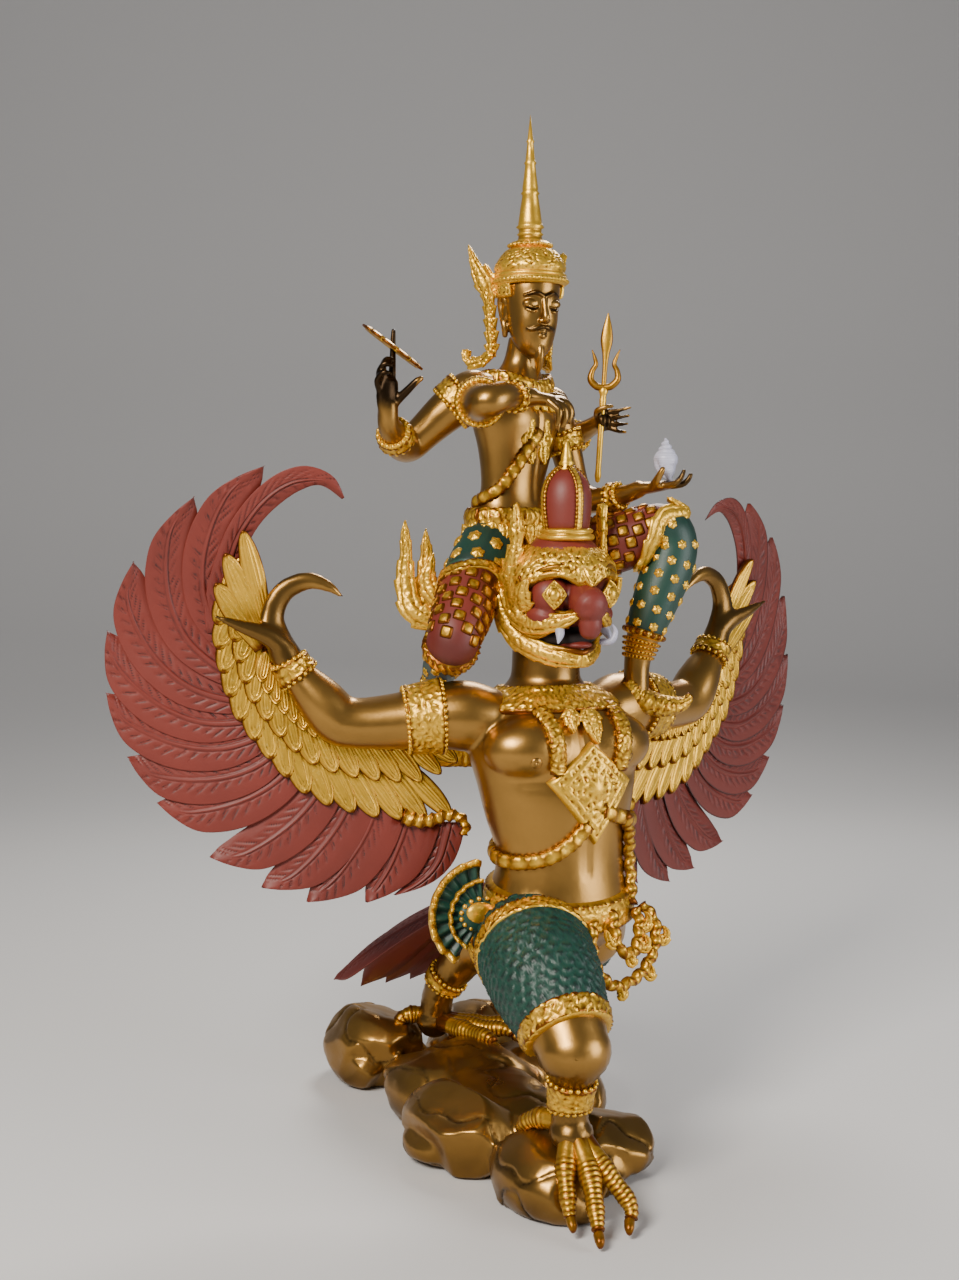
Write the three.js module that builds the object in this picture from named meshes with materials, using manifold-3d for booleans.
// Vishnu on Garuda: a cast and painted bronze group on a rock, built at its real size in millimetres.
// +Z is up, the figures face -Y and +X is on their left. The origin lies on the rock's underside,
// under Garuda's waist.
import * as THREE from "three";
import { mergeVertices } from "three/addons/utils/BufferGeometryUtils.js";
import Module from "manifold-3d";

const wasm = await Module();
wasm.setup();
const { Manifold, Mesh } = wasm;

// Driving dimensions, in millimetres and degrees
const TOTAL_HEIGHT = 720; // underside of the rock to the tip of Vishnu's crown
const GAP = 0.35; // left between two pieces that touch
const SWEEP = 20; // how far Garuda's arms and wings are swept back
const WING_SET_BACK = 18; // wing surface behind the line of the arms
const WING_HUB = [165, 330]; // centre of the wing's arc: reach from the body's axis, and height
const SHOULDER = [70, 300]; // reach and height of the point a wing is raised or dropped about
const LEFT_WING_DROP = 9; // degrees by which the left wing is carried lower than the right
const CUP_START = 350; // above this height the wings curl forwards,
const CUP_RUN = 115; // and over this rise they come forward
const CUP_DEPTH = 24; // by this much
const FEATHERS = 11; // flight feathers in a wing
const TAIL_FEATHERS = 9;
const TORSO_TURN = 20; // Vishnu's chest is turned to his left
const BEVEL = 0.6; // half the run of a raised band's sloping edge

// Small helpers for points and angles
const rad = THREE.MathUtils.degToRad;
const lerp = THREE.MathUtils.lerp;
const clamp = THREE.MathUtils.clamp;
const vec = (p) => new THREE.Vector3(p[0], p[1], p[2]);
const add = (a, b) => a.map((value, i) => value + b[i]);

// A closed geometry as a solid, with its faces turned outwards.
function solid(geometry) {
  const bare = new THREE.BufferGeometry();
  bare.setAttribute("position", geometry.getAttribute("position"));
  bare.setIndex(geometry.index);
  const merged = mergeVertices(bare, 1e-3);
  const triVerts = new Uint32Array(merged.index.array);
  const build = () => new Manifold(new Mesh({
    numProp: 3,
    vertProperties: merged.attributes.position.array,
    triVerts,
  }));
  const made = build();
  if (made.volume() >= 0) return made;
  for (let i = 0; i < triVerts.length; i += 3) {
    [triVerts[i + 1], triVerts[i + 2]] = [triVerts[i + 2], triVerts[i + 1]];
  }
  return build();
}

// A closed skin over rings of points that all hold the same number of points.
function skin(rings) {
  const count = rings[0].length;
  const positions = rings.flat().flatMap((p) => [p.x, p.y, p.z]);
  const index = [];
  for (let i = 0; i + 1 < rings.length; i++) {
    for (let j = 0; j < count; j++) {
      const a = i * count + j;
      const b = i * count + ((j + 1) % count);
      index.push(a, b, a + count, b, b + count, a + count);
    }
  }
  const last = (rings.length - 1) * count;
  for (let j = 1; j + 1 < count; j++) {
    index.push(0, j + 1, j, last, last + j, last + j + 1);
  }
  const geometry = new THREE.BufferGeometry();
  geometry.setAttribute("position", new THREE.Float32BufferAttribute(positions, 3));
  geometry.setIndex(index);
  return solid(geometry);
}

// A limb through stations [x, y, z, radius] or [x, y, z, half width, half thickness]. The thickness
// lies towards `up`, and `grow` makes the whole limb that much fatter.
function limb(stations, { sides = 8, up = [0, 0, 1], grow = 0, bands = [] } = {}) {
  const plain = stations.map((s) => ({ at: vec(s), wide: s[3], thick: s[4] ?? s[3] }));
  const path = banded(plain, bands);
  const rings = path.map((station, i) => {
    const before = path[Math.max(i - 1, 0)].at;
    const after = path[Math.min(i + 1, path.length - 1)].at;
    const along = after.clone().sub(before).normalize();
    let across = along.clone().cross(vec(up));
    if (across.length() < 0.2) across = along.clone().cross(new THREE.Vector3(0, 1, 0));
    across.normalize();
    const over = across.clone().cross(along);
    return Array.from({ length: sides }, (_, k) => {
      const turn = ((k + (sides === 4 ? 0 : 0.5)) / sides) * 2 * Math.PI;
      return station.at.clone()
        .addScaledVector(across, (station.wide + grow) * Math.cos(turn))
        .addScaledVector(over, (station.thick + grow) * Math.sin(turn));
    });
  });
  return skin(rings);
}

// The path with raised bands [distance along it, width, height] worked into it.
function banded(path, bands) {
  let run = 0;
  let marks = path.map((station, i) => {
    run += i ? station.at.distanceTo(path[i - 1].at) : 0;
    return { ...station, run };
  });
  const plain = marks;
  const pointAt = (distance, proud) => {
    const i = clamp(plain.findIndex((mark) => mark.run > distance), 1, plain.length - 1);
    const [a, b] = [plain[i - 1], plain[i]];
    const share = (distance - a.run) / (b.run - a.run);
    return {
      at: a.at.clone().lerp(b.at, share),
      wide: lerp(a.wide, b.wide, share) + proud,
      thick: lerp(a.thick, b.thick, share) + proud,
      run: distance,
    };
  };
  for (const [middle, width, proud] of bands) {
    const [start, end] = [middle - width / 2, middle + width / 2];
    marks = marks.filter((mark) => mark.run < start - BEVEL || mark.run > end + BEVEL);
    marks.push(pointAt(start - BEVEL, 0), pointAt(start + BEVEL, proud));
    marks.push(pointAt(end - BEVEL, proud), pointAt(end + BEVEL, 0));
  }
  return marks.sort((a, b) => a.run - b.run);
}

// A trunk of oval sections [x, y, z, half width, half depth, rise of the back edge], turned about the
// vertical. A section without a rise is level.
function trunk(sections, { sides = 12, turn = 0, grow = 0 } = {}) {
  const rings = sections.map(([x, y, z, wide, deep, rise = 0]) =>
    Array.from({ length: sides }, (_, k) => {
      const angle = ((k + 0.5) / sides) * 2 * Math.PI;
      const side = (wide + grow) * Math.cos(angle);
      const front = (deep + grow) * Math.sin(angle);
      return new THREE.Vector3(
        x + side * Math.cos(rad(turn)) - front * Math.sin(rad(turn)),
        y + side * Math.sin(rad(turn)) + front * Math.cos(rad(turn)),
        z + rise * Math.sin(angle),
      );
    }),
  );
  return skin(rings);
}

// An egg-shaped lump at a point, with radii along x, y and z, turned about the vertical.
function lump(at, radii, { sides = 10, rows = 6, turn = 0, grow = 0 } = {}) {
  const ball = new THREE.SphereGeometry(1, sides, rows);
  ball.rotateX(Math.PI / 2);
  ball.scale(radii[0] + grow, radii[1] + grow, radii[2] + grow);
  ball.rotateZ(rad(turn));
  ball.translate(at[0], at[1], at[2]);
  return solid(ball);
}

// A turned piece: a profile of [radius, height] pairs on an upright axis through a point.
function turned(profile, at, sides) {
  const points = profile.map(([r, z]) => new THREE.Vector2(r, z));
  const lathe = new THREE.LatheGeometry(points, sides);
  lathe.rotateX(Math.PI / 2);
  lathe.translate(at[0], at[1], at[2]);
  return solid(lathe);
}

// A closed sheet between a front and a back grid of points, both as rows of equal length.
function sheet(front, back) {
  const [rows, cols] = [front.length, front[0].length];
  const positions = [...front.flat(), ...back.flat()].flatMap((p) => [p.x, p.y, p.z]);
  const size = rows * cols;
  const at = (i, j) => i * cols + j;
  const index = [];
  for (let i = 0; i + 1 < rows; i++) {
    for (let j = 0; j + 1 < cols; j++) {
      const [a, b, c, d] = [at(i, j), at(i, j + 1), at(i + 1, j), at(i + 1, j + 1)];
      index.push(a, b, c, b, d, c);
      index.push(size + a, size + c, size + b, size + b, size + c, size + d);
    }
  }
  const rim = [
    ...Array.from({ length: cols - 1 }, (_, j) => at(0, j)),
    ...Array.from({ length: rows - 1 }, (_, i) => at(i, cols - 1)),
    ...Array.from({ length: cols - 1 }, (_, j) => at(rows - 1, cols - 1 - j)),
    ...Array.from({ length: rows - 1 }, (_, i) => at(rows - 1 - i, 0)),
  ];
  rim.forEach((a, k) => {
    const b = rim[(k + 1) % rim.length];
    index.push(a, size + a, b, b, size + a, size + b);
  });
  const geometry = new THREE.BufferGeometry();
  geometry.setAttribute("position", new THREE.Float32BufferAttribute(positions, 3));
  geometry.setIndex(index);
  return solid(geometry);
}

const join = (pieces) => Manifold.union(pieces);

// The rock: overlapping lumps, cut flat below. Each row is a centre and three radii.
const ROCK_LUMPS = [
  [-24, 40, 8, 62, 150, 38], // the body of the rock
  [-56, 190, 24, 42, 52, 38], // lobe at the back right
  [30, 180, 18, 46, 50, 34], // lobe at the back left
  [-52, 96, 18, 36, 56, 34],
  [-74, 8, 20, 38, 56, 34],
  [-52, -84, 16, 40, 54, 33], // under the leading foot
  [2, -54, 18, 38, 40, 28],
  [34, 78, 14, 38, 70, 34],
  [-18, 92, 30, 42, 70, 22], // under the trailing foot
];

function rock() {
  const lumps = ROCK_LUMPS.map(([x, y, z, rx, ry, rz], i) =>
    lump([x, y, z], [rx, ry, rz], { sides: 8, rows: 5, turn: ((i * 37) % 30) - 15 }));
  return join(lumps).trimByPlane([0, 0, 1], 0);
}

// A point of an arm or wing: its reach from the body's axis, its height and how far it stands forward.
function swept(side, reach, height, forward = 0) {
  const across = reach * Math.cos(rad(SWEEP));
  const back = reach * Math.sin(rad(SWEEP));
  return [side * across, back - forward, height];
}

// Garuda's trunk with its belt and collar, which the wings, the tail and Vishnu touch.
const GARUDA_TRUNK = [
  [0, 6, 134, 26, 24],
  [0, 5, 148, 45, 36],
  [0, 1, 160, 50, 41, 6],
  [0, 0, 166, 55, 45, 6],
  [0, -1, 181, 54, 44, 8],
  [0, -2, 188, 48, 39, 8],
  [0, -2, 212, 48, 38],
  [0, 3, 250, 57, 44],
  [0, 8, 280, 63, 46],
  [0, 13, 299, 56, 43],
  [0, 14, 302, 57, 46],
  [0, 16, 311, 48, 40],
  [0, 19, 322, 29, 28],
  [0, 19, 330, 25, 25],
  [0, 15, 372, 25, 25],
];

function garudaArm(side, grow) {
  const arm = limb([
    [...swept(side, 60, 302), 22],
    [...swept(side, 78, 304), 23],
    [...swept(side, 112, 301), 20],
    [...swept(side, 146, 299), 17],
    [...swept(side, 163, 315), 17],
    [...swept(side, 181, 335), 11],
    [...swept(side, 190, 350), 10],
  ], { sides: 6, grow, bands: [[38, 20, 2.5], [127, 11, 3]] });
  const claw = limb([
    [...swept(side, 186, 345), 11, 8],
    [...swept(side, 195, 370), 9, 6],
    [...swept(side, 186, 391), 7.5, 5],
    [...swept(side, 171, 396), 6, 4.5],
    [...swept(side, 149, 385), 1.5, 1.5],
  ], { sides: 5, up: [0, -1, 0], grow });
  const thumb = limb([
    [...swept(side, 188, 352, 2), 9, 7],
    [...swept(side, 208, 364, 8), 6, 5],
    [...swept(side, 240, 374, 15), 1.2, 1.2],
  ], { sides: 5, up: [0, -1, 0], grow });
  return join([arm, claw, thumb]);
}

// A bird's toe on a path of points, ending in a curved claw.
function toe(path, grow) {
  const thickness = [6.8, 6.4, 4.4, 0.8];
  return limb(path.map((point, i) => [...point, thickness[i]]), { sides: 4, grow });
}

const RIGHT_TOES = [
  [[-52, -106, 52], [-62, -118, 36], [-68, -131, 18], [-70, -139, 6]],
  [[-50, -108, 52], [-52, -130, 32], [-59, -150, 14], [-65, -166, 2]],
  [[-47, -106, 52], [-40, -127, 33], [-32, -145, 15], [-38, -154, 4]],
  [[-52, -98, 55], [-59, -81, 54], [-64, -68, 47], [-63, -61, 39]],
];
const LEFT_TOES = [
  [[-24, 146, 53], [-2, 116, 51], [12, 98, 52], [19, 90, 45]],
  [[-23, 147, 53], [3, 125, 51], [22, 111, 52], [30, 106, 45]],
  [[-26, 143, 53], [-14, 108, 51], [-8, 88, 51], [-6, 79, 44]],
  [[-28, 152, 54], [-38, 158, 55], [-47, 160, 53], [-51, 160, 44]],
];

function garudaLegs(grow) {
  const rightLeg = limb([
    [-24, 2, 153, 34],
    [-35, -28, 147, 36],
    [-44, -62, 135, 34],
    [-49, -93, 117, 27],
    [-50, -107, 102, 23],
    [-50, -106, 86, 16],
    [-50, -102, 68, 12],
    [-50, -103, 48, 12],
  ], { sides: 7, up: [1, 0, 0.2], grow, bands: [[30, 8, 2], [122, 12, 2.5]] });
  const leftLeg = limb([
    [24, 8, 153, 34],
    [18, 38, 143, 34],
    [8, 78, 128, 29],
    [-6, 112, 116, 21],
    [-15, 128, 98, 15],
    [-23, 142, 76, 12],
    [-25, 149, 48, 12],
  ], { sides: 7, up: [1, 0, 0.2], grow, bands: [[96, 12, 2.5]] });
  const toes = [...RIGHT_TOES, ...LEFT_TOES].map((path) => toe(path, grow));
  return join([rightLeg, leftLeg, ...toes]);
}

function garudaBody(grow = 0) {
  const chest = [-1, 1].map((side) =>
    lump([side * 27, -12, 282], [36, 27, 25], { sides: 8, rows: 5, grow }));
  return join([
    trunk(GARUDA_TRUNK, { sides: 10, grow }),
    ...chest,
    garudaArm(-1, grow),
    garudaArm(1, grow),
    garudaLegs(grow),
  ]);
}

// Garuda's head: skull, hooked beak, open jaws with fangs, bulging eyes and the flame-edged headdress.
const HEAD = [0, 4, 382];

function garudaHead() {
  const at = (x, y, z) => add(HEAD, [x, y, z]);
  const pair = (make) => [-1, 1].map(make);
  const skull = lump(at(0, 4, 2), [33, 36, 34], { sides: 8, rows: 5 });
  const beak = limb([
    [...at(0, -16, 6), 15],
    [...at(0, -34, 0), 16],
    [...at(0, -47, -7), 15],
    [...at(0, -53, -19), 10],
    [...at(0, -48, -30), 3],
  ], { sides: 6, up: [1, 0, 0] });
  const jaw = limb([
    [...at(-33, 6, -8), 7],
    [...at(-28, -14, -28), 7],
    [...at(0, -38, -36), 6.5],
    [...at(28, -14, -28), 7],
    [...at(33, 6, -8), 7],
  ], { sides: 5 });
  const upperLips = pair((side) => limb([
    [...at(side * 32, -8, -12), 5],
    [...at(side * 24, -28, -18), 5],
    [...at(side * 11, -42, -15), 3],
  ], { sides: 4 }));
  const eyes = pair((side) => lump(at(side * 18, -23, 4), [12, 11, 13], { sides: 6, rows: 4 }));
  const fangs = pair((side) => limb([
    [...at(side * 19, -32, -14), 3.2],
    [...at(side * 21, -37, -31), 0.8],
  ], { sides: 4, up: [1, 0, 0] }));
  const brow = trunk([
    [...at(0, 2, 12), 35, 36],
    [...at(0, 1, 20), 38, 39],
    [...at(0, -6, 40), 18, 20],
  ], { sides: 10 });
  const tallFlames = pair((side) => limb([
    [...at(side * 32, 8, -22), 4, 7],
    [...at(side * 36, 6, 8), 5, 10],
    [...at(side * 35, 6, 32), 3.5, 6],
    [...at(side * 34, 2, 66), 0.8, 0.8],
  ], { sides: 4, up: [0, 1, 0] }));
  const cheekFlames = pair((side) => limb([
    [...at(side * 30, -4, -14), 4, 8],
    [...at(side * 39, -8, 2), 3.5, 8],
    [...at(side * 44, -12, 24), 0.8, 0.8],
  ], { sides: 4, up: [0, 1, 0] }));
  const crown = turned([
    [0, 34], [17, 34], [15.5, 43], [18.5, 46], [14.5, 49],
    [16.5, 62], [15.5, 74], [9, 85], [4.5, 88], [0, 110],
  ], at(0, -14, 0), 8);
  return join([
    skull, beak, jaw, ...upperLips, ...eyes, ...fangs,
    brow, ...tallFlames, ...cheekFlames, crown,
  ]);
}

// Garuda's ornaments: leaf drops below the collar, breast plate, straps, swag and hanging loops.
function garudaOrnaments() {
  const drops = [-68, 68].map((angle) => {
    const out = [Math.sin(rad(angle)), -Math.cos(rad(angle)), 0];
    const point = (r, z) => [out[0] * r * 1.2, 12 + out[1] * r, z];
    return limb([
      [...point(44, 304), 7, 3],
      [...point(49, 292), 6, 3],
      [...point(49, 276), 0.8, 0.8],
    ], { sides: 4, up: out });
  });
  const plate = limb([
    [4, -39, 290, 2, 2],
    [5, -43, 272, 22, 3.5],
    [5, -44, 258, 33, 4],
    [5, -43, 243, 17, 3.5],
    [5, -40, 222, 1.5, 1.5],
  ], { sides: 6, up: [0, -1, 0] });
  const straps = [[-24, -32], [30, -30]].map(([x, y]) => limb([
    [x, y, 306, 3.5],
    [x * 0.8, -40, 284, 3.5],
    [x * 0.6, -42, 262, 3.5],
  ], { sides: 4, up: [0, -1, 0] }));
  const loops = [
    [[4, -36, 170], [-2, -53, 142], [12, -55, 122], [34, -51, 128], [52, -42, 150], [46, -28, 170]],
    [[20, -36, 170], [18, -51, 150], [30, -50, 142], [42, -34, 168]],
  ].map((path) => limb(path.map((p) => [...p, 3.6]), { sides: 4 }));
  const swag = limb([
    [-2, -43, 242, 3.6],
    [-28, -38, 212, 3.6],
    [-50, -4, 209, 3.6],
    [-36, 31, 214, 3.6],
    [0, 38, 220, 3.6],
    [38, 31, 224, 3.6],
    [51, 0, 228, 3.6],
    [34, -33, 234, 3.6],
    [10, -43, 242, 3.6],
  ], { sides: 4 });
  const pendant = limb([
    [32, -34, 236, 3.6],
    [38, -32, 204, 3.6],
    [36, -38, 172, 3.6],
  ], { sides: 4 });
  return join([...drops, plate, ...straps, ...loops, swag, pendant]);
}

// The pleated fan bow on Garuda's right hip.
function hipBow() {
  const [pleats, knot] = [5, [-58, 12, 168]];
  const point = (i, share, lift) => {
    const angle = rad(lerp(236, 92, i / (2 * pleats)));
    const reach = 8 + 28 * share * (i % 2 ? 1 : 0.93);
    const bulge = (i % 2 ? 5 : 0.5) * Math.min(share * 2, 1);
    return new THREE.Vector3(
      knot[0] + Math.cos(angle) * reach,
      knot[1] + 2 - lift * (3 + bulge),
      knot[2] + Math.sin(angle) * reach,
    );
  };
  const grid = (lift) => [0, 1].map((share) =>
    Array.from({ length: 2 * pleats + 1 }, (_, i) => point(i, share, share === 1 ? lift * 0.4 : lift)));
  return join([sheet(grid(1), grid(-1)), lump(knot, [20, 14, 12], { sides: 6, rows: 4 })]);
}

function garuda() {
  return join([garudaBody(), garudaHead(), garudaOrnaments(), hipBow()]);
}

// Reads a value off a short table of [angle, value] pairs, with straight runs between them.
function readOff(table, angle) {
  const i = table.findIndex(([a]) => a <= angle);
  if (i <= 0) return table.at(i)[1];
  const [a0, r0] = table[i - 1];
  const [a1, r1] = table[i];
  return lerp(r0, r1, (angle - a0) / (a1 - a0));
}

// A wing's edges as [angle about its hub, distance from it]: where the wing begins along the arm, where
// the coverts end, and where the flight feathers' tips lie.
const LEADING_EDGE = [
  [92, 118], [66, 92], [53, 62], [38, 42], [0, 24], [-74, 20], [-120, 34], [-150, 66], [-164, 108],
];
const COVERT_EDGE = [
  [62, 96], [42, 79], [23, 69], [-24, 56], [-59, 60], [-89, 82], [-107, 99], [-123, 120],
  [-136, 140], [-160, 150],
];
const TIP_EDGE = [
  [80, 147], [33, 142], [-6, 140], [-38, 134], [-60, 139], [-78, 150], [-105, 162], [-120, 166],
  [-136, 150],
];

// A point of a wing: an angle and distance about the hub, lifted off the surface towards the front.
// The wing is cupped forwards at the top, and the left one is dropped about the shoulder.
function wingPoint(side, angle, distance, lift = 0) {
  let reach = WING_HUB[0] + distance * Math.cos(rad(angle));
  let height = WING_HUB[1] + distance * Math.sin(rad(angle));
  if (side > 0) {
    const drop = rad(-LEFT_WING_DROP);
    const [x, z] = [reach - SHOULDER[0], height - SHOULDER[1]];
    reach = SHOULDER[0] + x * Math.cos(drop) - z * Math.sin(drop);
    height = SHOULDER[1] + x * Math.sin(drop) + z * Math.cos(drop);
  }
  const rise = clamp((height - CUP_START) / CUP_RUN, 0, 1.2);
  const cup = CUP_DEPTH * Math.pow(rise, 1.5);
  return vec(swept(side, reach, height, lift + cup - WING_SET_BACK));
}

const wingNormal = (side) => [side * Math.sin(rad(SWEEP)), -Math.cos(rad(SWEEP)), 0];

// The feathers as one pleated sheet: every odd column is a feather's ridge and tip, every even one the
// valley beside it. Two rows of coverts overlap the flight feathers, each a step in the sheet. The
// feathers trail, so their roots lie further round than their tips.
function plumage(side) {
  const columns = Array.from({ length: 2 * FEATHERS + 1 }, (_, j) => {
    const [share, ridge] = [j / (2 * FEATHERS), j % 2];
    const tip = lerp(80, -136, share);
    const root = Math.max(tip - lerp(34, 12, share), -152);
    const inner = readOff(LEADING_EDGE, root);
    const covert = readOff(COVERT_EDGE, root) - (ridge ? 0 : 6);
    const upper = lerp(inner, covert, 0.62);
    const end = readOff(TIP_EDGE, tip) - (ridge ? 0 : 11);
    return { tip, root, ridge, inner, upper, covert, end };
  });
  const rows = [
    ({ inner }) => ({ distance: inner, lift: 5.2, trail: 0 }),
    ({ upper }) => ({ distance: upper, lift: 6.2, trail: 0 }),
    ({ upper }) => ({ distance: upper + 1, lift: 4.4, trail: 0 }),
    ({ covert }) => ({ distance: covert, lift: 4.6, trail: 0 }),
    ({ covert, ridge }) => ({ distance: covert + 1, lift: 1.2 + 2 * ridge, trail: 0 }),
    ({ covert, end, ridge }) =>
      ({ distance: lerp(covert, end, 0.6), lift: 1.2 + 2.6 * ridge, trail: 0.6 }),
    ({ end }) => ({ distance: end, lift: 0.8, trail: 1 }),
  ];
  const grid = (face) => rows.map((row) => columns.map((column) => {
    const { distance, lift, trail } = row(column);
    const angle = lerp(column.root, column.tip, Math.pow(trail, 1.25));
    return wingPoint(side, angle, distance, face > 0 ? lift : -1.8);
  }));
  return sheet(grid(1), grid(-1));
}

function wing(side) {
  const curl = limb([
    [...wingPoint(side, 50, 98), 14, 3],
    [...wingPoint(side, 66, 122), 16, 3.2],
    [...wingPoint(side, 79, 132), 11, 3],
    [...wingPoint(side, 89, 134), 6, 2.4],
    [...wingPoint(side, 97, 126), 0.7, 0.7],
  ], { sides: 4, up: wingNormal(side) });
  const root = limb([
    [...swept(side, 24, 282, -30), 20, 5],
    [...swept(side, 60, 283, -26), 19, 5],
    [...swept(side, 92, 282, -WING_SET_BACK), 16, 3],
  ], { sides: 6, up: wingNormal(side) });
  return join([plumage(side), curl, root]);
}

// The tail: a pleated fan from the small of the back, its middle higher than its edges.
function tail() {
  const point = (j, s, face) => {
    const spread = lerp(-1, 1, j / (2 * TAIL_FEATHERS));
    const droop = spread * spread;
    const length = j % 2 ? 1 : 0.93;
    const tip = [98 * spread, 220 - 14 * droop, 102 - 34 * droop];
    const root = [12 * spread, 34, 184 - 4 * droop];
    const arch = 9 * Math.sin(Math.PI * s);
    const ridge = face > 0 && j % 2 ? 2.6 : 0;
    const lift = arch + face * (s === 1 ? 1.2 : 2.6) + ridge;
    return new THREE.Vector3(...root.map((c, k) =>
      lerp(c, tip[k], s * length) + lift * [0.25 * spread, 0.3, 0.92][k]));
  };
  const grid = (face) => [0, 0.4, 0.8, 1].map((s) =>
    Array.from({ length: 2 * TAIL_FEATHERS + 1 }, (_, j) => point(j, s, face)));
  return sheet(grid(1), grid(-1));
}

// Vishnu, standing on Garuda's shoulders with his left knee raised. His trunk holds belt and collar.
const VISHNU_TRUNK = [
  [-8, 60, 408, 24, 20],
  [-8, 60, 430, 31, 25],
  [-8, 60, 432, 35, 28],
  [-7, 60, 445, 33, 26],
  [-7, 60, 448, 28, 21],
  [-4, 60, 464, 27, 19],
  [-2, 60, 486, 33, 22],
  [-3, 60, 506, 40, 25],
  [-4, 61, 527, 41, 24],
  [-4, 60, 530, 38, 27],
  [-2, 60, 540, 29, 20],
  [1, 58, 550, 16, 15],
  [3, 53, 562, 13, 13],
];
const DISC_CENTRE = [-111, 31, 552];
const DISC_AXIS = [0.52, -0.3, 0.8];
const TRIDENT_FOOT = [61, 51, 464];
const TRIDENT_TIP = [67.5, 47.5, 588];
const CONCH = [83, -5, 477];

function vishnuArms() {
  const upperRight = limb([
    [-44, 44, 527, 16],
    [-60, 54, 512, 15],
    [-83, 65, 488, 12],
    [-99, 49, 493, 11],
    [-113, 35, 502, 7.5],
    [-114, 32, 514, 7],
  ], { sides: 6, up: [0, 1, 0.2], bands: [[20, 11, 2], [86, 7, 2.4]] });
  const lowerRight = limb([
    [-42, 37, 520, 16],
    [-54, 14, 516, 14],
    [-61, -8, 514, 12],
    [-47, -5, 519, 10],
    [-28, 5, 520, 7.5],
    [-20, 3, 520, 7],
  ], { sides: 6, bands: [[22, 9, 2], [80, 7, 2.4]] });
  const upperLeft = limb([
    [36, 75, 517, 14],
    [46, 92, 505, 12],
    [56, 105, 494, 10.5],
    [61, 92, 497, 9.5],
    [65, 70, 504, 7],
    [66, 56, 508, 7],
  ], { sides: 6, bands: [[18, 9, 2], [68, 7, 2.4]] });
  const lowerLeft = limb([
    [34, 68, 514, 13],
    [42, 64, 484, 11.5],
    [50, 58, 455, 10.5],
    [58, 38, 452, 9],
    [67, 16, 456, 6.8],
    [72, 8, 459, 6.5],
  ], { sides: 6, up: [0.3, 0.3, 1], bands: [[24, 9, 2], [98, 7, 2.4]] });
  return join([upperRight, lowerRight, upperLeft, lowerLeft]);
}

// A finger through points, tapering to its tip.
const finger = (...path) => limb(path.map((p, i) => [...p, 2.8 - 0.5 * i]), { sides: 4 });

function vishnuHands() {
  const discHand = [
    limb([[-114, 33, 508, 7, 5], [-114, 31, 520, 9, 5], [-113, 31, 530, 8, 4]], { sides: 5, up: [0, 1, 0] }),
    limb([[-112.5, 31, 524, 2.8], [...DISC_CENTRE, 2], [-110, 30.5, 564, 1.2]], { sides: 5 }),
    finger([-117, 30, 525], [-119, 27, 539], [-115, 22, 543]),
    finger([-108, 30, 518], [-102, 21, 528], [-97, 18, 529]),
  ];
  const chestHand = [
    limb([[-24, 4, 520, 7, 5], [-16, 0, 519, 9, 4.5], [-7, -3, 517, 7, 3.5]], { sides: 5 }),
    finger([-11, 0, 518], [-2, -4, 518], [5, -7, 516]),
    finger([-10, -2, 516], [-4, -8, 508], [-5, -8, 500]),
  ];
  const grip = [
    lump([66, 50, 509], [8, 10, 8], { sides: 6, rows: 4 }),
  ];
  const palm = [
    limb([[70, 12, 459, 7, 5], [77, 3, 460, 9, 4], [84, -5, 461, 9, 3.6]], { sides: 5 }),
    finger([84, -4, 462], [94, -7, 465], [98, -7, 473]),
    finger([82, -7, 461], [89, -16, 465], [92, -18, 471]),
  ];
  return join([...discHand, ...chestHand, ...grip, ...palm]);
}

function vishnuLegs() {
  const right = limb([
    [-22, 56, 424, 20],
    [-42, 42, 402, 20],
    [-62, 24, 376, 19],
    [-75, 12, 358, 15],
    [-71, 30, 348, 14],
    [-63, 58, 333, 11],
    [-55, 82, 316, 8],
    [-54, 92, 309, 8],
    [-53, 108, 302, 5],
  ], { sides: 7, up: [0, 1, 0.1], bands: [[58, 7, 2], [136, 12, 2.5]] });
  const left = limb([
    [8, 54, 412, 21],
    [36, 38, 414, 21],
    [68, 18, 424, 20],
    [94, 4, 432, 16.5],
    [92, 2, 412, 16.5],
    [84, 4, 388, 16],
    [75, 6, 364, 13.5],
    [69, 8, 338, 10],
    [68, 8, 312, 9],
  ], { sides: 7, up: [0, 1, 0.1], bands: [[184, 14, 2.5], [204, 5, 2.5]] });
  const leftFoot = limb([
    [57, 10, 310, 9, 8],
    [72, 5, 307, 10, 9],
    [93, -3, 304, 8, 6],
    [105, -7, 309, 1.5, 1.5],
  ], { sides: 6 });
  return join([right, left, leftFoot]);
}

const VISHNU_HEAD = [3, 46, 586];

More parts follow.
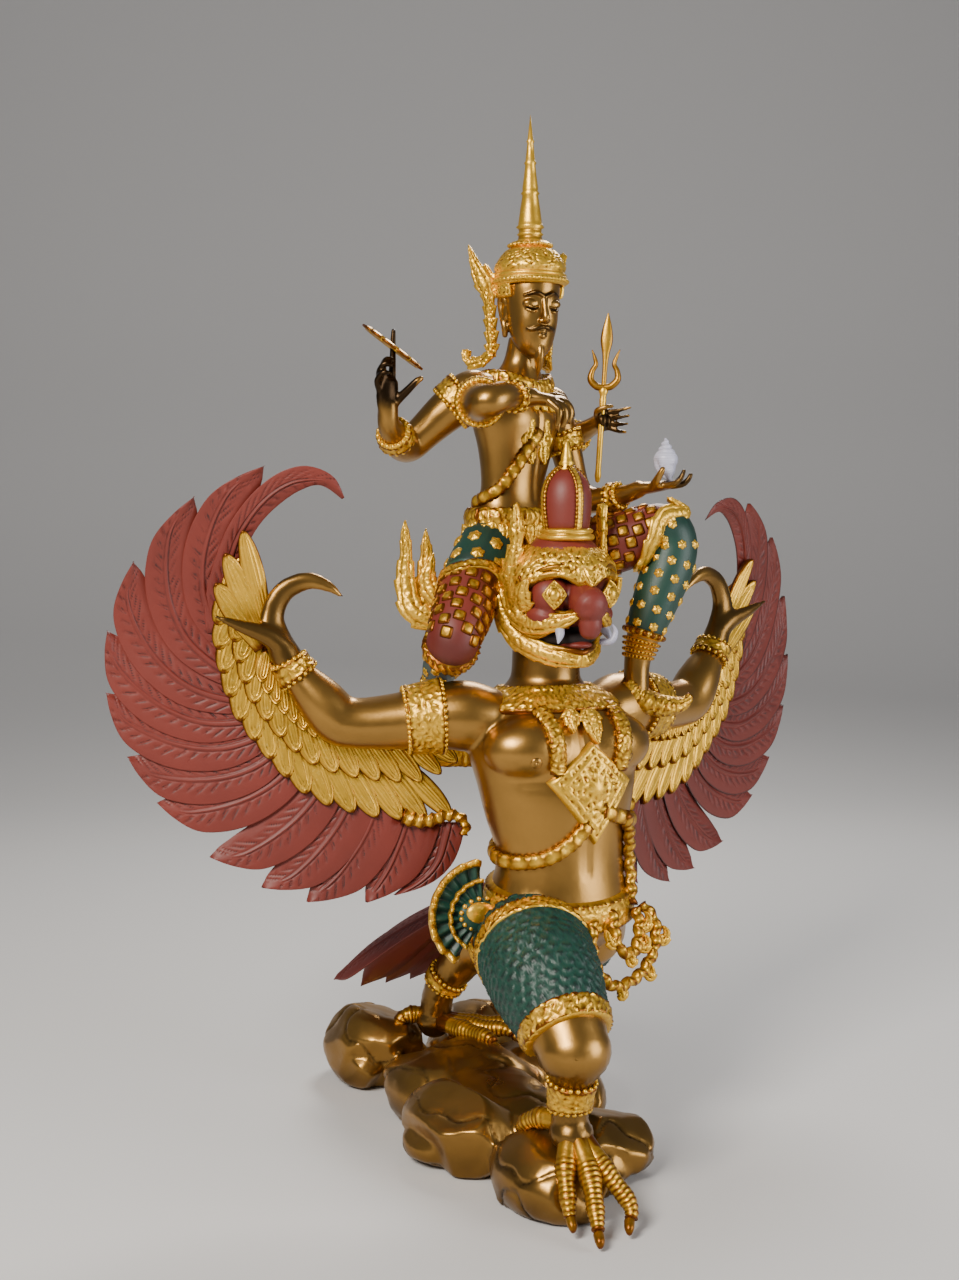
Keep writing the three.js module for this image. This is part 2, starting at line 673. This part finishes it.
function vishnuHead() {
  const at = (x, y, z) => add(VISHNU_HEAD, [x, y, z]);
  const skull = trunk([
    [...at(0, -5, -33), 6, 6],
    [...at(0, -2, -25), 14, 15],
    [...at(0, 0, -10), 20, 21],
    [...at(0, 2, 14), 21, 22],
    [...at(0, 3, 30), 14, 15],
  ], { sides: 10 });
  const nose = limb([
    [...at(0, -18, 6), 2.4],
    [...at(0, -24, -6), 3.6],
    [...at(0, -18, -10), 2],
  ], { sides: 4, up: [1, 0, 0] });
  const beard = limb([
    [...at(0, -11, -24), 5.5],
    [...at(0, -12, -34), 4.5],
    [...at(0, -9, -44), 0.8],
  ], { sides: 5, up: [1, 0, 0] });
  const crown = turned([
    [0, 14], [25, 16], [26, 22], [23, 32], [16, 39.5], [9, 46], [6.8, 49],
    [9, 55.5], [5.8, 78], [3, 114], [0, TOTAL_HEIGHT - VISHNU_HEAD[2]],
  ], at(0, 2, 0), 9);
  const earFlames = [-1, 1].map((side) => limb([
    [...at(side * 23, 17, -38), 3, 7],
    [...at(side * 22, 14, -8), 4, 9],
    [...at(side * 28, 20, 18), 3.2, 9],
    [...at(side * 36, 27, 46), 0.8, 0.8],
  ], { sides: 4, up: [0.4 * side, 1, 0] }));
  const ears = [-1, 1].map((side) => lump(at(side * 19, 7, -6), [6, 9, 10], { sides: 6, rows: 4 }));
  return join([skull, nose, beard, crown, ...ears, ...earFlames]);
}

// Vishnu's breast ornament, cross-band, knee flap and the flame-shaped sash ends at his right hip.
function vishnuOrnaments() {
  const [sine, cosine] = [Math.sin(rad(TORSO_TURN)), Math.cos(rad(TORSO_TURN))];
  const front = (across, height, out) =>
    [1 + across * cosine + out * sine, 60 + across * sine - out * cosine, height];
  const plates = [-9, 9].map((across) => limb([
    [...front(across, 510, 22), 1, 1],
    [...front(across, 499, 23), 7, 4],
    [...front(across, 486, 21), 6, 4],
    [...front(across * 0.8, 473, 17), 1, 1],
  ], { sides: 5, up: [0.34, -0.94, 0] }));
  const chain = limb([
    [...front(4, 490, 22), 3],
    [...front(-16, 466, 16), 3],
    [...front(-29, 450, 0), 3],
  ], { sides: 4 });
  const kneeFlap = limb([
    [68, 12, 408, 6, 4],
    [80, 0, 428, 8, 4],
    [97, -8, 466, 0.8, 0.8],
  ], { sides: 5, up: [0.6, -0.8, 0] });
  const flames = [[-87, 64, 438], [-71, 64, 431]].map(([x, y, top]) => limb([
    [-56, 40, 364, 7],
    [x + 4, y - 6, 372, 7],
    [x, y, 406, 6],
    [x, y, top, 0.8],
  ], { sides: 4, up: [0, 1, 0] }));
  return join([...plates, chain, kneeFlap, ...flames]);
}

function vishnu() {
  return join([
    trunk(VISHNU_TRUNK, { sides: 10, turn: TORSO_TURN }),
    vishnuArms(),
    vishnuHands(),
    vishnuLegs(),
    vishnuHead(),
    vishnuOrnaments(),
  ]);
}

// The trident: shaft, cupped fork and leaf-shaped blade, leaning slightly with the grip.
function trident(grow = 0) {
  const along = (share) => TRIDENT_FOOT.map((c, i) => lerp(c, TRIDENT_TIP[i], share));
  const offset = (share, across) => add(along(share), [across * 0.87, across * -0.5, 0]);
  const shaft = limb([
    [...along(0), 1.6],
    [...along(0.05), 2.6],
    [...along(0.52), 2.2],
    [...along(0.68), 1.8],
    [...along(0.81), 3.6],
    [...along(1), 0.5],
  ], { sides: 6, up: [1, 0, 0], grow });
  const fork = limb([
    [...offset(0.76, -9.5), 0.6],
    [...offset(0.69, -7), 1.7],
    [...offset(0.59, -10), 2.2],
    [...offset(0.54, 0), 2.4],
    [...offset(0.59, 10), 2.2],
    [...offset(0.69, 7), 1.7],
    [...offset(0.76, 9.5), 0.6],
  ], { sides: 5, up: [0.5, 0.87, 0], grow });
  return join([shaft, fork]);
}

// The discus: a thin toothed ring round the tip of the raised finger.
function discus() {
  const teeth = 12;
  const outline = new THREE.Shape();
  for (let i = 0; i < teeth * 2; i++) {
    const radius = i % 2 ? 23 : 25.5;
    const angle = (i / (teeth * 2)) * 2 * Math.PI;
    outline[i ? "lineTo" : "moveTo"](radius * Math.cos(angle), radius * Math.sin(angle));
  }
  const hole = new THREE.Path();
  hole.absarc(0, 0, 4.6, 0, 2 * Math.PI, true);
  outline.holes.push(hole);
  const plate = new THREE.ExtrudeGeometry(outline, { depth: 3, bevelEnabled: false, curveSegments: 5 });
  plate.translate(0, 0, -1.5);
  plate.applyQuaternion(new THREE.Quaternion().setFromUnitVectors(
    new THREE.Vector3(0, 0, 1), vec(DISC_AXIS).normalize(),
  ));
  plate.translate(...DISC_CENTRE);
  return solid(plate);
}

// The conch: a spiral-shouldered shell standing on the palm.
function conch(grow = 0) {
  const sections = [
    [2, -2, -13, 2],
    [0, 0, -8, 6],
    [0, 0, 0, 8.8],
    [0, 0, 5, 7.4],
    [0, 0, 6, 5.8],
    [0, 0, 11, 3.8],
    [0, 0, 18, 0.6],
  ];
  const stations = sections.map(([x, y, z, radius]) => [...add(CONCH, [x, y, z]), radius]);
  return limb(stations, { sides: 8, up: [1, 0, 0], grow });
}

// Colours of the finishes
const FINISH = {
  bronze: { color: 0x7a5524, roughness: 0.35, metalness: 0.85 },
  gold: { color: 0xc9972f, roughness: 0.45, metalness: 0.6 },
  red: { color: 0x7e2c22, roughness: 0.6, metalness: 0 },
  white: { color: 0xc9c7d2, roughness: 0.5, metalness: 0 },
};

function meshOf(name, finish, body) {
  const { vertProperties, triVerts } = body.getMesh();
  const geometry = new THREE.BufferGeometry();
  geometry.setAttribute("position", new THREE.BufferAttribute(vertProperties, 3));
  geometry.setIndex(new THREE.BufferAttribute(triVerts, 1));
  geometry.computeVertexNormals();
  const mesh = new THREE.Mesh(geometry, new THREE.MeshStandardMaterial(FINISH[finish]));
  mesh.name = name;
  return mesh;
}

// Each upper piece is cut clear of what carries it.
const carrier = garuda();
const carrierGrown = join([carrier, garudaBody(GAP)]);
const heldThings = join([trident(GAP), conch(GAP)]);

const group = new THREE.Group();
group.add(
  meshOf("rock_base", "bronze", rock().subtract(garudaLegs(GAP))),
  meshOf("garuda", "bronze", carrier),
  meshOf("wing_right", "red", wing(-1).subtract(carrierGrown)),
  meshOf("wing_left", "red", wing(1).subtract(carrierGrown)),
  meshOf("tail_fan", "red", tail().subtract(carrierGrown)),
  meshOf("vishnu", "bronze", vishnu().subtract(carrierGrown).subtract(heldThings)),
  meshOf("trident", "gold", trident()),
  meshOf("discus", "gold", discus()),
  meshOf("conch", "white", conch()),
);

export default group;
